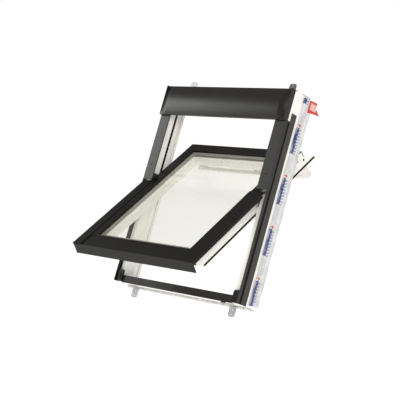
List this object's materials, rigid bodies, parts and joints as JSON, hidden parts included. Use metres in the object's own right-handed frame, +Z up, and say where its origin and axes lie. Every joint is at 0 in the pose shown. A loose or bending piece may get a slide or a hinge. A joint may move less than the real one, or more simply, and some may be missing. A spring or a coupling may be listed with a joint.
{
  "type": "centre-pivot roof window",
  "caption": "Centre-pivot roof window swung open: white frame, dark aluminium covers and hood, double glazed sash, fixing brackets and insulating collar.",
  "frame": {"origin": "middle of the frame, in the plane of the undersides of the four fixing brackets, where they sit on the roof battens", "axes": "+Z up, +X to the right seen from outside, -Y out of the building; the roof rises towards +Y at 67 degrees"},
  "size_m": [0.797, 0.854, 1.0044],
  "materials": {
    "white_timber": "white lacquered timber, satin",
    "dark_cover": "dark grey powder coat, satin",
    "grey_cladding": "grey powder coated ribbed extrusion",
    "black_rubber": "black extruded seal",
    "black_plastic": "black moulded plastic",
    "zinc_steel": "galvanised pressed steel",
    "clear_glass": "clear float glass with a faint green tint",
    "spacer_metal": "bare spacer tube",
    "collar_film": "white film over foam, with plain printed bars",
    "red_label": "red card label with a pale panel",
    "white_bar": "white plastic"
  },
  "bodies": {
    "frame": {"frame_jamb_left": "white_timber", "frame_jamb_right": "white_timber", "frame_head": "white_timber", "frame_sill": "white_timber", "frame_gasket": "black_rubber", "side_cladding_left": "grey_cladding", "side_cladding_right": "grey_cladding", "side_channel_left": "black_plastic", "side_channel_right": "black_plastic", "lower_jamb_cover_left": "dark_cover", "lower_jamb_cover_right": "dark_cover", "upper_cover_left": "dark_cover", "upper_cover_right": "dark_cover", "hood": "dark_cover", "hood_end_left": "black_plastic", "hood_end_right": "black_plastic", "sill_cover": "dark_cover", "corner_block_left": "black_plastic", "corner_block_right": "black_plastic", "sill_foot": "black_plastic", "bracket_top_left": "zinc_steel", "bracket_top_right": "zinc_steel", "bracket_bottom_left": "zinc_steel", "bracket_bottom_right": "zinc_steel", "bracket_screws": "zinc_steel", "collar_left": "collar_film", "collar_right": "collar_film", "collar_top": "collar_film", "collar_bottom": "collar_film", "label_tag": "red_label", "frame_hinge_left": "zinc_steel", "frame_hinge_right": "zinc_steel", "cover_screws": "zinc_steel", "lock_keeper": "zinc_steel"},
    "sash": {"sash_stile_left": "white_timber", "sash_stile_right": "white_timber", "sash_top_rail": "white_timber", "sash_bottom_rail": "white_timber", "glass_outer": "clear_glass", "glass_inner": "clear_glass", "glass_spacer": "spacer_metal", "glazing_gasket": "black_rubber", "glazing_bead": "grey_cladding", "sash_cover_lower_left": "dark_cover", "sash_cover_lower_right": "dark_cover", "sash_cover_upper_left": "dark_cover", "sash_cover_upper_right": "dark_cover", "sash_cover_top": "dark_cover", "sash_cover_bottom": "dark_cover", "sash_seal": "black_rubber", "sash_hinge_left": "zinc_steel", "sash_hinge_right": "zinc_steel", "bar_lugs": "white_bar", "lock_case": "zinc_steel"},
    "control_bar": {"control_bar": "white_bar"},
    "latch": {"latch_tongue": "zinc_steel"}
  },
  "joints": [
    {"name": "sash_pivot", "type": "hinge", "parent": "frame", "child": "sash", "pos_m": [0, -0.05247, 0.02227], "axis": [-1, 0, 0], "range_deg": [-38, 40]},
    {"name": "control_bar_turn", "type": "hinge", "parent": "sash", "child": "control_bar", "pos_m": [0, 0.27164, 0.11618], "axis": [-1, 0, 0], "range_deg": [0, 30]},
    {"name": "latch_slide", "type": "slide", "parent": "sash", "child": "latch", "axis": [0, 0.8746, 0.4848], "range_m": [0, 0.007]}
  ]
}
